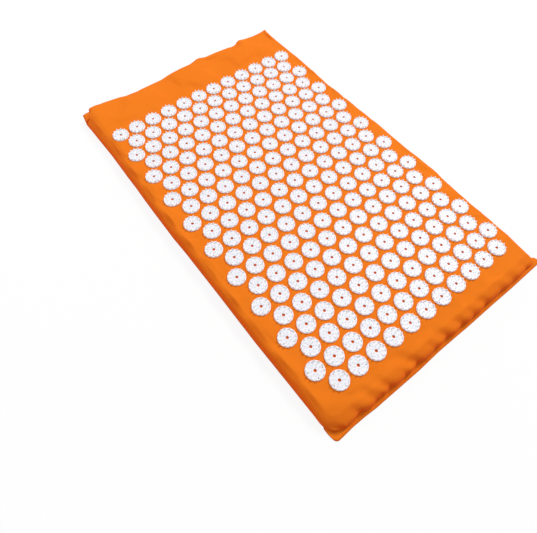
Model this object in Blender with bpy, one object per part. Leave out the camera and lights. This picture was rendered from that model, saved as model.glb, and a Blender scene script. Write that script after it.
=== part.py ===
"""Acupressure mat: a foam slab in a zipped cotton cover, with rows of spiked plastic discs on its upper face.

Metres, +Z up. The origin is on the floor under the middle of the mat. X runs across the mat and Y along it:
the near end, with the flat seam lip, is at -Y, and the far end, with the zip under its fold, is at +Y.
"""

from math import cos, pi, sin

import bmesh
import bpy
from mathutils import Vector

# Whole mat
mat_width = 0.420
mat_length = 0.686
foam_thickness = 0.020
cloth_thickness = 0.0008
seat_gap = 0.0003

# Cover edges: how far the cloth rounds over, tucks in under itself, and stands out as a seam lip
edge_round = 0.011
side_tuck = 0.0035
side_lip = 0.0020
near_tuck = 0.0020
near_lip = 0.0080
corner_radius = 0.026
seam_corner_radius = 0.012
ear_radius = 0.006
widest_height_share = 0.41
tuck_height_share = 0.40
tuck_reach_share = 0.35

# Cover ends: the far fold wanders in from its outermost line, and the near end is puckered by its seam
far_fold_cover = 0.004
far_fold_rise = 0.0019
far_wander = 0.011
far_wander_shares = (0.0, 0.0, 0.2, 0.8, 1.0, 0.85, 0.5, 0.47, 0.22, 0.3, 0.5, 0.7, 0.36, 0.42, 0.4)
near_pucker = 0.005
near_pucker_shares = (0.9, 0.3, 1.0, 0.4, 0.8, 0.3, 0.6, 0.2, 0.5, 0.2, 0.4, 0.3, 0.7, 0.4, 0.2)
pucker_level_shares = (0.0, 0.0, 0.1, 0.3, 0.7, 1.0, 1.0)
wander_level_shares = (0.0, 0.0, 1 - tuck_reach_share, 1.0, 1.0, 1.0, 1.0)

# Steps in an outline of the cover
corner_steps = 4
long_side_steps = 6
short_side_steps = 14

# Spiked discs in rows staggered by half a pitch, as many as the margins leave room for
disc_diameter = 0.028
disc_gap = 0.0042
disc_row_gap = 0.00456
disc_near_margin = 0.054
disc_far_margin = 0.085
disc_side_margin = 0.014
disc_plate_thickness = 0.0012
disc_sides = 8  # an even number, so that a link can leave at each side
spike_height = 0.0042
spike_circle_share = 0.80
disc_link_width = 0.0016

# Zip across the far end: the margins run from the mat's side to the ends of the zip, its tapes and its hems
zip_end_margin = 0.045
zip_tape_margin = 0.019
zip_hem_margin = 0.027
zip_height_share = 0.405
zip_tape_thickness = 0.0006
zip_tape_headroom = 0.0029
zip_hem_depth = 0.0016
zip_tooth_depth = 0.0020
zip_tooth_thickness = 0.0022
zip_tooth_spacing = 0.0012
zip_stop_length = 0.0030
zip_stop_overlap = 0.0004

# Zip slider: two plates joined by a divider between the rows of teeth, with side flanges and a bridge
slider_length = 0.0090
slider_window_gap = 0.0006
slider_plate_thickness = 0.0008
slider_divider_length = 0.0026
slider_flange_width = 0.0013
bridge_length = 0.0054
bridge_width = 0.0016
bridge_thickness = 0.0008
bridge_clear_height = 0.0020
bridge_leg_length = 0.0010

# Pull tab: a plate with a window that the bridge passes through
tab_length = 0.0230
tab_width = 0.0056
tab_thickness = 0.0009
tab_bar = 0.0009
tab_window_end_gap = 0.00125
tab_window_side_gap = 0.0005
tab_corner = 0.0016
metal_edge = 0.0002

# Lengths that a Boolean's cutter runs past the solid that it cuts, or a join into its neighbour
overrun = 0.001
join_overlap = 0.0002

# Heights, from the floor up
foam_bottom = cloth_thickness + seat_gap
foam_top = foam_bottom + foam_thickness
cover_top = foam_top + seat_gap + cloth_thickness
lip_top = foam_bottom + cloth_thickness
widest_height = widest_height_share * cover_top
disc_bottom = cover_top + seat_gap

# Sizes and heights of the zip
tooth_inner = zip_tooth_spacing / 2
tooth_outer = tooth_inner + zip_tooth_depth
slider_width = 2 * (tooth_outer + seat_gap + slider_flange_width)
slider_plate_inner = zip_tooth_thickness / 2 + seat_gap
slider_plate_outer = slider_plate_inner + slider_plate_thickness
zip_window = slider_width + 2 * slider_window_gap
zip_height = foam_bottom + zip_height_share * foam_thickness
window_bottom = zip_height - zip_window / 2
window_top = zip_height + zip_window / 2
far_seam_height = window_top + zip_hem_depth
far_fold_height = far_seam_height + far_fold_rise
tab_window_length = (bridge_length - tab_bar) / 2 + tab_window_end_gap
tab_window_width = bridge_width + 2 * tab_window_side_gap

# Places across the mat
zip_end_x = mat_width / 2 - zip_end_margin
tape_end_x = mat_width / 2 - zip_tape_margin
hem_end_x = mat_width / 2 - zip_hem_margin
slider_rest_x = zip_end_x - zip_stop_length - seat_gap - slider_length / 2

# Places along the mat
near_y = -mat_length / 2
far_y = mat_length / 2
near_wall_y = near_y + near_lip
zip_y = far_y - far_wander - far_fold_cover
hem_y = zip_y + zip_tape_thickness / 2 + seat_gap + cloth_thickness
tab_pivot_y = zip_y + slider_plate_outer + bridge_clear_height / 2
foam_far_y = zip_y - slider_plate_outer - seat_gap

# Spacing and count of the discs
disc_pitch = disc_diameter + disc_gap
disc_row_pitch = ((disc_diameter + disc_row_gap) ** 2 - (disc_pitch / 2) ** 2) ** (1 / 2)
first_disc_row_y = near_y + disc_near_margin
disc_rows = 1 + int((mat_length - disc_near_margin - disc_far_margin) / disc_row_pitch)
discs_in_long_row = 1 + int((mat_width - disc_diameter - 2 * disc_side_margin) / disc_pitch)
link_reach = ((disc_diameter / 2) ** 2 - (disc_link_width / 2) ** 2) ** (1 / 2)


def clear_scene():
    for old in list(bpy.data.objects):
        bpy.data.objects.remove(old, do_unlink=True)


def finish(name, colour, roughness, metallic):
    material = bpy.data.materials.new(name)
    material.use_nodes = True
    shader = material.node_tree.nodes["Principled BSDF"]
    shader.inputs["Base Color"].default_value = (*colour, 1)
    shader.inputs["Roughness"].default_value = roughness
    shader.inputs["Metallic"].default_value = metallic
    material.diffuse_color = (*colour, 1)
    return material


def add_object(name, mesh_builder, material, location=(0, 0, 0), parent=None):
    """Makes an object from a bmesh, closes the bmesh and links the object to the scene."""
    mesh = bpy.data.meshes.new(name)
    mesh_builder.to_mesh(mesh)
    mesh_builder.free()
    mesh.materials.append(material)
    placed = bpy.data.objects.new(name, mesh)
    placed.location = location
    placed.parent = parent
    bpy.context.scene.collection.objects.link(placed)
    return placed


def add_pivot(name, location, parent=None):
    """An empty on a joint's axis, which carries the pieces that move with it."""
    pivot = bpy.data.objects.new(name, None)
    pivot.location = location
    pivot.parent = parent
    bpy.context.scene.collection.objects.link(pivot)
    return pivot


def box_at(low, high):
    """A bmesh box between two corners."""
    solid = bmesh.new()
    bmesh.ops.create_cube(solid, size=1)
    low, high = Vector(low), Vector(high)
    bmesh.ops.scale(solid, vec=high - low, verts=solid.verts)
    bmesh.ops.translate(solid, vec=(low + high) / 2, verts=solid.verts)
    return solid


def extruded(outline, direction):
    """A closed bmesh solid: a flat outline carried along a direction."""
    solid = bmesh.new()
    face = solid.faces.new([solid.verts.new(point) for point in outline])
    grown = bmesh.ops.extrude_face_region(solid, geom=[face])
    moved = [item for item in grown["geom"] if isinstance(item, bmesh.types.BMVert)]
    bmesh.ops.translate(solid, vec=direction, verts=moved)
    bmesh.ops.recalc_face_normals(solid, faces=solid.faces)
    return solid


def combine(target, helper, operation):
    """Joins a helper to an object, or cuts it out of the object, and leaves the helper out of the part."""
    modifier = target.modifiers.new(helper.name, "BOOLEAN")
    modifier.operation = operation
    modifier.object = helper
    helper.hide_render = True
    helper.display_type = "WIRE"


def bevel_edges(target, width):
    modifier = target.modifiers.new("rounded edges", "BEVEL")
    modifier.width = width
    modifier.segments = 1
    modifier.limit_method = "ANGLE"


def smooth(target, angle=pi / 5):
    target.data.shade_smooth()
    target.data.set_sharp_from_angle(angle=angle)


def outline_points(half_width, low_y, high_y, radius):
    """A rounded rectangle from the near right corner, counter-clockwise: (x, y, facing along Y)."""
    centres = (
        (half_width - radius, low_y + radius),
        (half_width - radius, high_y - radius),
        (radius - half_width, high_y - radius),
        (radius - half_width, low_y + radius),
    )
    points = []
    for quarter, (centre_x, centre_y) in enumerate(centres):
        for step in range(corner_steps + 1):
            angle = (quarter - 1 + step / corner_steps) * pi / 2
            points.append((centre_x + radius * cos(angle), centre_y + radius * sin(angle), sin(angle)))
        start = points[-1]
        next_x, next_y = centres[(quarter + 1) % len(centres)]
        end_x = next_x + radius * cos(quarter * pi / 2)
        end_y = next_y + radius * sin(quarter * pi / 2)
        steps = short_side_steps if quarter % 2 else long_side_steps
        for step in range(1, steps):
            share = step / steps
            x = start[0] + (end_x - start[0]) * share
            y = start[1] + (end_y - start[1]) * share
            points.append((x, y, start[2]))
    return points


def share_across(shares, x):
    """Reads a list of shares that are spread evenly over the mat's width."""
    place = min(max(x / mat_width + 1 / 2, 0), 1) * (len(shares) - 1)
    first = min(int(place), len(shares) - 2)
    return shares[first] + (shares[first + 1] - shares[first]) * (place - first)


def ring_at(level, half_width, low_y, high_y, radius, side_z, far_z):
    """One ring of points round the mat, with the pucker and the wander that its level takes at the ends."""
    ring = []
    for x, y, facing in outline_points(half_width, low_y, high_y, radius):
        far_share = max(facing, 0)
        near_share = max(-facing, 0)
        pucker = near_pucker * share_across(near_pucker_shares, x) * pucker_level_shares[level]
        wander = far_wander * share_across(far_wander_shares, x) * wander_level_shares[level]
        y += near_share * pucker - far_share * wander
        ring.append((x, y, side_z + (far_z - side_z) * far_share))
    return ring


def over_zip(x):
    """1 over the zip, falling to 0 at the mat's corners, where the two panels are sewn together."""
    clear_end = (zip_end_x + hem_end_x) / 2
    run_out = mat_width / 2 - ear_radius - side_tuck - clear_end
    return min(max((clear_end + run_out - abs(x)) / run_out, 0), 1)


def hem_ring(half_width, low_y, radius, side_z, hem_z):
    """A ring of the seam line: low at three sides, and raised over the zip at the far end."""
    ring = []
    for x, y, facing in outline_points(half_width, low_y, hem_y, radius):
        raised = over_zip(x) if facing > 1 / 2 else 0
        ring.append((x, y, side_z + (hem_z - side_z) * raised))
    return ring


def body_rings(inset, top_z):
    """The upper four rings of the cover, or of what fits inside it by this inset, from the widest one up."""
    rings = []
    for level in range(3, 7):
        angle = (level - 3) * pi / 6
        inward = inset + (edge_round - inset) * (1 - cos(angle))
        side_z = widest_height + (top_z - widest_height) * sin(angle)
        far_z = far_fold_height + (top_z - far_fold_height) * sin(angle)
        rings.append((level, inward, side_z, far_z))
    return rings


def bridged(rings, close_bottom):
    """A bmesh with faces between rings, a face over the last ring and, if asked, one under the first."""
    shell = bmesh.new()
    loops = [[shell.verts.new(point) for point in ring] for ring in rings]
    for lower, upper in zip(loops, loops[1:]):
        for n in range(len(lower)):
            after = (n + 1) % len(lower)
            shell.faces.new((lower[n], lower[after], upper[after], upper[n]))
    shell.faces.new(loops[-1])
    if close_bottom:
        shell.faces.new(reversed(loops[0]))
    return shell


def make_cover_top(cotton):
    """The upper panel: seam lip, tucked wall, rounded edge and flat face, as thick as the cloth."""
    half_width = mat_width / 2
    seam_half_width = half_width - side_tuck
    rings = [
        hem_ring(seam_half_width + side_lip, near_y, ear_radius, lip_top, window_top),
        hem_ring(seam_half_width, near_wall_y + near_tuck, seam_corner_radius, lip_top, far_seam_height),
    ]
    tucked_in = tuck_reach_share * side_tuck
    tucked_z = lip_top + tuck_height_share * (widest_height - lip_top)
    far_tucked_z = far_seam_height + tuck_height_share * (far_fold_height - far_seam_height)
    far_tucked_y = far_y - tuck_reach_share * (far_y - hem_y)
    near_tucked_y = near_wall_y + tuck_reach_share * near_tuck
    tuck_radius = (corner_radius + seam_corner_radius) / 2
    rings.append(
        ring_at(2, half_width - tucked_in, near_tucked_y, far_tucked_y, tuck_radius, tucked_z, far_tucked_z)
    )
    for level, inward, side_z, far_z in body_rings(0, cover_top):
        radius = corner_radius - inward
        ring = ring_at(
            level, half_width - inward, near_wall_y + inward, far_y - inward, radius, side_z, far_z
        )
        rings.append(ring)
    panel = add_object("cover_top_panel", bridged(rings, close_bottom=False), cotton)
    cloth = panel.modifiers.new("cloth", "SOLIDIFY")
    cloth.thickness = cloth_thickness
    cloth.offset = -1
    smooth(panel)


def make_cover_bottom(cotton):
    """The lower panel: a flat sheet cut to the seam line, with a hem turned up under the zip."""
    half_width = mat_width / 2 - side_tuck + side_lip
    sheet = [(x, y, 0) for x, y, _ in outline_points(half_width, near_y, hem_y, ear_radius)]
    panel = add_object("cover_bottom_panel", extruded(sheet, (0, 0, cloth_thickness)), cotton)
    hem = box_at(
        (-hem_end_x, hem_y - cloth_thickness, cloth_thickness - join_overlap),
        (hem_end_x, hem_y, window_bottom),
    )
    combine(panel, add_object("bottom_hem_join", hem, cotton), "UNION")


def make_foam(foam):
    """The slab, pressed round at its upper edges by the cover, and cut straight short of the zip."""
    inset = cloth_thickness + seat_gap
    half_width = mat_width / 2
    bottom_in = side_tuck + 2 * inset
    bottom = [
        (x, y, foam_bottom)
        for x, y, _ in outline_points(
            half_width - bottom_in,
            near_wall_y + near_tuck + 2 * inset,
            foam_far_y - bottom_in + inset,
            corner_radius - inset,
        )
    ]
    rings = [bottom]
    for level, inward, side_z, _ in body_rings(inset, foam_top):
        ring = []
        radius = corner_radius - inward
        for x, y, facing in outline_points(
            half_width - inward, near_wall_y + inward, foam_far_y - inward + inset, radius
        ):
            pucker = near_pucker * share_across(near_pucker_shares, x) * pucker_level_shares[level]
            ring.append((x, y + max(-facing, 0) * pucker, side_z))
        rings.append(ring)
    smooth(add_object("foam_core", bridged(rings, close_bottom=True), foam))


def row_outline(count):
    """The outline of a row of discs with the thin links between them, from the left end, near side first."""
    radius = disc_diameter / 2
    half_link = disc_link_width / 2
    near_side, far_side = [], []
    for n in range(count):
        centre = (n - (count - 1) / 2) * disc_pitch
        near_side.append((centre - link_reach, -half_link) if n else (centre - radius, 0))
        for step in range(1, disc_sides // 2):
            angle = pi - 2 * pi * step / disc_sides
            near_side.append((centre + radius * cos(angle), -radius * sin(angle)))
            far_side.append((centre + radius * cos(angle), radius * sin(angle)))
        if n:
            far_side.insert(-(disc_sides // 2 - 1), (centre - link_reach, half_link))
        if n < count - 1:
            near_side.append((centre + link_reach, -half_link))
            far_side.append((centre + link_reach, half_link))
    near_side.append((centre + radius, 0))
    return near_side + far_side[::-1]


def make_disc_row(number, plastic):
    """One row of discs, each an eight-sided plate with a ring of spikes round its middle."""
    count = discs_in_long_row - number % 2
    outline = [(x, y, 0) for x, y in row_outline(count)]
    row = extruded(outline, (0, 0, disc_plate_thickness))
    for n in range(count - 1):
        middle = (n + 1 - count / 2) * disc_pitch
        for side in (-1, 1):
            mouth_x = middle + side * (disc_pitch / 2 - link_reach)
            split_top_at(row, mouth_x)
    plates = [face for face in row.faces if face.normal.z > 0 and len(face.verts) > disc_sides]
    sectors = bmesh.ops.poke(row, faces=plates)["faces"]
    wide = [face for face in sectors if face.calc_area() > disc_link_width * disc_diameter / 2]
    for tip in bmesh.ops.poke(row, faces=wide)["verts"]:
        centre_x = disc_centre_near(tip.co.x, count)
        outward = Vector((tip.co.x - centre_x, tip.co.y, 0)).normalized()
        tip.co = Vector((centre_x, 0, disc_plate_thickness + spike_height))
        tip.co += outward * spike_circle_share * disc_diameter / 2
    row_y = first_disc_row_y + (number - 1) * disc_row_pitch
    add_object(f"disc_row_{number:02d}", row, plastic, (0, row_y, disc_bottom))


def split_top_at(row, mouth_x):
    """Splits a row's top face across the mouth of a link, so that each disc gets a face of its own."""
    pair = []
    for side in (-1, 1):
        mouth = Vector((mouth_x, side * disc_link_width / 2, disc_plate_thickness))
        pair.append(min(row.verts, key=lambda vert: (vert.co - mouth).length))
    top = next(face for face in pair[0].link_faces if pair[1] in face.verts and face.normal.z > 1 / 2)
    bmesh.utils.face_split(top, *pair)


def disc_centre_near(x, count):
    """The place along a row of the disc that is nearest to x."""
    middle = (count - 1) / 2
    return (round(x / disc_pitch + middle) - middle) * disc_pitch


def make_zip_tapes(cotton):
    """Two cloth strips behind the hems, which carry the teeth and meet each other past the zip's ends."""
    back_y = zip_y - zip_tape_thickness / 2
    edge = tooth_outer + seat_gap
    for name, side, width in (
        ("zip_tape_upper", 1, foam_top - zip_tape_headroom - zip_height),
        ("zip_tape_lower", -1, zip_height - foam_bottom - seat_gap),
    ):
        step_x = zip_end_x + seat_gap
        heights = (seat_gap / 2, edge, width)
        strip = [
            (-tape_end_x, heights[0]),
            (-step_x, heights[0]),
            (-step_x, heights[1]),
            (step_x, heights[1]),
            (step_x, heights[0]),
            (tape_end_x, heights[0]),
            (tape_end_x, heights[2]),
            (-tape_end_x, heights[2]),
        ]
        outline = [(x, back_y, zip_height + side * height) for x, height in strip]
        add_object(name, extruded(outline, (0, zip_tape_thickness, 0)), cotton)


def make_zip_teeth(nylon):
    """Two rows of nylon coil on the tapes' edges, each as the bar that the coil fills."""
    reach_x = zip_end_x - zip_stop_length - seat_gap
    half_thickness = zip_tooth_thickness / 2
    for name, low, high in (
        ("zip_teeth_upper", tooth_inner, tooth_outer),
        ("zip_teeth_lower", -tooth_outer, -tooth_inner),
    ):
        bar = box_at((-reach_x, -half_thickness, low), (reach_x, half_thickness, high))
        row = add_object(name, bar, nylon, (0, zip_y, zip_height))
        bevel_edges(row, zip_tooth_depth / 4)


def make_zip_stops(metal):
    """A clamped staple across both rows of teeth at each end of the zip."""
    half_thickness = zip_tooth_thickness / 2 + zip_stop_overlap
    half_height = tooth_outer
    for name, side in (("zip_stop_closed_end", 1), ("zip_stop_open_end", -1)):
        staple = box_at(
            (-zip_stop_length / 2, -half_thickness, -half_height),
            (zip_stop_length / 2, half_thickness, half_height),
        )
        place = (side * (zip_end_x - zip_stop_length / 2), zip_y, zip_height)
        bevel_edges(add_object(name, staple, metal, place), metal_edge)


def make_slider(metal):
    """The slider rests at the closed end of the zip, about its own origin, and slides along -X."""
    carriage = add_pivot("slider_travel", (slider_rest_x, zip_y, zip_height))
    half_length = slider_length / 2
    half_width = slider_width / 2
    divider = (zip_tooth_spacing - 2 * seat_gap) / 2
    flange_inner = half_width - slider_flange_width
    flange_face = zip_tape_thickness / 2 + seat_gap
    front_plate = box_at(
        (-half_length, slider_plate_inner, -half_width), (half_length, slider_plate_outer, half_width)
    )
    slider = add_object("zip_slider", front_plate, metal, parent=carriage)
    joins = {
        "back_plate": (
            (-half_length, -slider_plate_outer, -half_width),
            (half_length, -slider_plate_inner, half_width),
        ),
        "divider": (
            (half_length - slider_divider_length, -slider_plate_outer + join_overlap, -divider),
            (half_length - join_overlap, slider_plate_outer - join_overlap, divider),
        ),
    }
    for side in (-1, 1):
        low, high = sorted((side * flange_inner, side * (half_width - join_overlap)))
        for face in (-1, 1):
            near, far = sorted((face * flange_face, face * (slider_plate_inner + join_overlap)))
            flange_end = half_length - join_overlap
            joins[f"flange_{side}_{face}"] = ((-flange_end, near, low), (flange_end, far, high))
    bridge_low = slider_plate_outer - join_overlap
    bridge_roof = slider_plate_outer + bridge_clear_height
    for side in (-1, 1):
        leg = sorted((side * bridge_length / 2, side * (bridge_length / 2 - bridge_leg_length)))
        joins[f"bridge_leg_{side}"] = (
            (leg[0], bridge_low, -bridge_width / 2),
            (leg[1], bridge_roof + join_overlap, bridge_width / 2),
        )
    joins["bridge_roof"] = (
        (-bridge_length / 2, bridge_roof, -bridge_width / 2),
        (bridge_length / 2, bridge_roof + bridge_thickness, bridge_width / 2),
    )
    for name, (low, high) in joins.items():
        combine(slider, add_object(f"slider_{name}", box_at(low, high), metal, parent=carriage), "UNION")
    return carriage


def make_pull_tab(metal, carriage):
    """The tab's end bar lies under the slider's bridge, and it swings about that bar's upright axis."""
    pivot = add_pivot("tab_swing", (0, tab_pivot_y - zip_y, 0), carriage)
    half_thickness = tab_thickness / 2
    half_bar = tab_bar / 2
    plate = box_at(
        (half_bar - tab_length, -half_thickness, -tab_width / 2), (half_bar, half_thickness, tab_width / 2)
    )
    upright = [edge for edge in plate.edges if abs(edge.verts[0].co.y - edge.verts[1].co.y) > half_thickness]
    bmesh.ops.bevel(plate, geom=upright, offset=tab_corner / 2, segments=2, profile=1 / 2, affect="EDGES")
    tab = add_object("zip_pull_tab", plate, metal, parent=pivot)
    window = box_at(
        (-half_bar - tab_window_length, -half_thickness - overrun, -tab_window_width / 2),
        (-half_bar, half_thickness + overrun, tab_window_width / 2),
    )
    combine(tab, add_object("tab_window_cut", window, metal, parent=pivot), "DIFFERENCE")


def main():
    clear_scene()
    cotton = finish("orange_cotton", (0.95, 0.22, 0.02), 0.9, 0)
    foam = finish("cream_foam", (0.80, 0.75, 0.62), 0.95, 0)
    plastic = finish("white_plastic", (0.86, 0.86, 0.90), 0.35, 0)
    nylon = finish("orange_nylon", (0.80, 0.18, 0.02), 0.5, 0)
    metal = finish("zip_metal", (0.75, 0.75, 0.76), 0.3, 1)
    make_cover_bottom(cotton)
    make_foam(foam)
    make_cover_top(cotton)
    for number in range(1, disc_rows + 1):
        make_disc_row(number, plastic)
    make_zip_tapes(cotton)
    make_zip_teeth(nylon)
    make_zip_stops(metal)
    carriage = make_slider(metal)
    make_pull_tab(metal, carriage)


main()
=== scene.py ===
"""The acupressure mat as photographed: orange cotton cover, foam slab, rows of spiked discs and a zip."""
import math

import bmesh
import bpy
import numpy as np
from mathutils import Matrix, Vector


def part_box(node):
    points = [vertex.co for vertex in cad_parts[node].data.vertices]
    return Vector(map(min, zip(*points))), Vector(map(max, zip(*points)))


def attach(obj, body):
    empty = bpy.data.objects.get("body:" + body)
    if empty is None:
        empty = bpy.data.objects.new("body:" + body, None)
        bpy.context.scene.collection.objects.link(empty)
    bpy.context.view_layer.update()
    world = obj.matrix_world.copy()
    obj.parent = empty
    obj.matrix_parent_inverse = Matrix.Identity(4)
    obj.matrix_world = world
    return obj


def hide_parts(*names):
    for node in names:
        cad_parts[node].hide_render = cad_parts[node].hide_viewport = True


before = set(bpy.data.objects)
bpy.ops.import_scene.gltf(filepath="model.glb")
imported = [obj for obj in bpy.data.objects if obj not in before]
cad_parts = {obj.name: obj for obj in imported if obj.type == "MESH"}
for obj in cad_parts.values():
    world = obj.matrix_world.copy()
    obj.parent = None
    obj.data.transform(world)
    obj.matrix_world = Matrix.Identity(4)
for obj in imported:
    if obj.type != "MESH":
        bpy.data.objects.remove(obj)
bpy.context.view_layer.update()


# Foam core. A slab of open-celled foam, 20 mm thick, that lies loose inside the cover and gives
# the mat its body. It takes on the cover's own shape, because the cover is pulled tight over it:
# round along the sides, pressed down into the near corners and under the folds at the near seam.
foam_low, foam_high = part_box("foam_core")
cover_low, cover_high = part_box("cover_top_panel")
corner_cells = 8
across_cells = 100
along_cells = 172
corner_turns = [math.asin(math.sqrt(0.5) * k / corner_cells) for k in range(corner_cells + 1)]
corner_turns += [math.pi / 2 - turn for turn in reversed(corner_turns[:-1])]


def edge_loop(half_width, low_y, high_y, radii):
    """Points round a rounded rectangle and the way each one faces, anticlockwise from near right."""
    near_right, far_right, far_left, near_left = radii
    centres = (
        (half_width - near_right, low_y + near_right),
        (half_width - far_right, high_y - far_right),
        (far_left - half_width, high_y - far_left),
        (near_left - half_width, low_y + near_left),
    )
    arcs = []
    for quarter, (centre, radius) in enumerate(zip(centres, radii)):
        turns = [(quarter - 1) * math.pi / 2 + turn for turn in corner_turns]
        ways = [(math.cos(turn), math.sin(turn)) for turn in turns]
        arcs.append([(centre[0] + radius * a, centre[1] + radius * b, a, b) for a, b in ways])
    points = []
    for quarter, arc in enumerate(arcs):
        points += arc
        start, end = arc[-1], arcs[(quarter + 1) % 4][0]
        cells = across_cells if quarter % 2 else along_cells
        for step in range(1, cells):
            share = step / cells
            x, y = (start[i] + (end[i] - start[i]) * share for i in (0, 1))
            points.append((x, y, start[2], start[3]))
    return np.array(points)


def between(first, second, share):
    return first + (second - first) * min(max(share, 0), 1)


def flat_grid(half_width, low_y, high_y, radii):
    """A grid of points that fills the same rounded rectangle, with the indices of its edge loop."""
    near_right, far_right, far_left, near_left = radii
    columns, rows = across_cells + 2 * corner_cells, along_cells + 2 * corner_cells
    places = np.zeros((rows + 1, columns + 1, 2))
    for j in range(rows + 1):
        for i in range(columns + 1):
            from_left, from_right = corner_cells - i, i - (columns - corner_cells)
            from_near, from_far = corner_cells - j, j - (rows - corner_cells)
            across_share = (i - corner_cells) / across_cells
            along_share = (j - corner_cells) / along_cells
            left_radius = between(near_left, far_left, along_share)
            right_radius = between(near_right, far_right, along_share)
            near_radius = between(near_left, near_right, across_share)
            far_radius = between(far_left, far_right, across_share)
            a = max(from_left, from_right, 0) / corner_cells
            b = max(from_near, from_far, 0) / corner_cells
            side = -1 if from_left > 0 else 1
            end = -1 if from_near > 0 else 1
            bent_a = a * math.sqrt(1 - b * b / 2)
            bent_b = b * math.sqrt(1 - a * a / 2)
            if a > 0:
                radius = left_radius if side < 0 else right_radius
                x = side * (half_width - radius + radius * bent_a)
            else:
                x = left_radius - half_width + (2 * half_width - left_radius - right_radius) * across_share
            if b > 0:
                radius = near_radius if end < 0 else far_radius
                y = (low_y + radius - radius * bent_b) if end < 0 else (high_y - radius + radius * bent_b)
            else:
                y = low_y + near_radius + (high_y - low_y - near_radius - far_radius) * along_share
            places[j, i] = x, y
    loop = [(0, i) for i in range(columns - corner_cells, columns)]
    loop += [(j, columns) for j in range(rows)]
    loop += [(rows, i) for i in range(columns, 0, -1)]
    loop += [(j, 0) for j in range(rows, 0, -1)]
    loop += [(0, i) for i in range(columns - corner_cells)]
    return places, [j * (columns + 1) + i for j, i in loop]


def read(items, attribute, width, kind=float):
    """One attribute of all of a mesh's items, with a row for each item."""
    values = np.zeros(len(items) * width, dtype=kind)
    items.foreach_get(attribute, values)
    return values.reshape(-1, width)


def cloth_mesh(name, points, faces, flats):
    """A piece made of points and faces, with a UV map that holds the flat cloth in metres."""
    mesh = bpy.data.meshes.new(name)
    mesh.from_pydata(points, [], faces)
    corners = read(mesh.loops, "vertex_index", 1, np.int32).ravel()
    layer = mesh.uv_layers.new(name="cloth")
    layer.data.foreach_set("uv", np.array(flats)[corners].astype(np.float32).ravel())
    piece = bpy.data.objects.new(name, mesh)
    bpy.context.scene.collection.objects.link(piece)
    return piece


def grid_faces(rows, columns):
    """The faces of a grid of points that is rows by columns cells."""
    firsts = [j * (columns + 1) + i for j in range(rows) for i in range(columns)]
    return [(first, first + 1, first + columns + 2, first + columns + 1) for first in firsts]


def sewn_mesh(name, grid_points, loop, rings, flat_points, flat_rings):
    """A piece of cloth made of a grid with rings hung from its edge loop."""
    rows, columns = grid_points.shape[0] - 1, grid_points.shape[1] - 1
    faces = grid_faces(rows, columns)
    above = list(loop)
    start = (rows + 1) * (columns + 1)
    count = len(loop)
    for _ in rings:
        below = list(range(start, start + count))
        for n in range(count):
            after = (n + 1) % count
            faces.append((above[n], below[n], below[after], above[after]))
        above = below
        start += count
    points = np.concatenate([grid_points.reshape(-1, 3)] + list(rings)).tolist()
    return cloth_mesh(name, points, faces, np.concatenate([flat_points.reshape(-1, 2)] + list(flat_rings)))


half_width = cover_high.x
near_lip_y = cover_low.y
near_wall_y = near_lip_y + 0.0050
far_y = cover_high.y
top_z = cover_high.z
widest_z = 0.41 * top_z
fold_z = 0.0175
lip_z = 0.0019
roll, near_roll = 0.011, 0.016
disc_pitch = 0.0322
row_pitch = 0.0283
first_row_y = -0.289
row_count = 20
disc_places = []
for row in range(row_count):
    count = 11 + row % 2
    row_y = first_row_y + row * row_pitch
    disc_places += [((n - (count - 1) / 2) * disc_pitch, row_y, row) for n in range(count)]


def eased(values):
    values = np.clip(values, 0, 1)
    return values * values * (3 - 2 * values)


def table(place, pairs):
    """A value in metres from pairs of a place and a value in millimetres."""
    pairs = np.array(pairs)
    return np.interp(place, pairs[:, 0], pairs[:, 1] / 1000)


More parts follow.
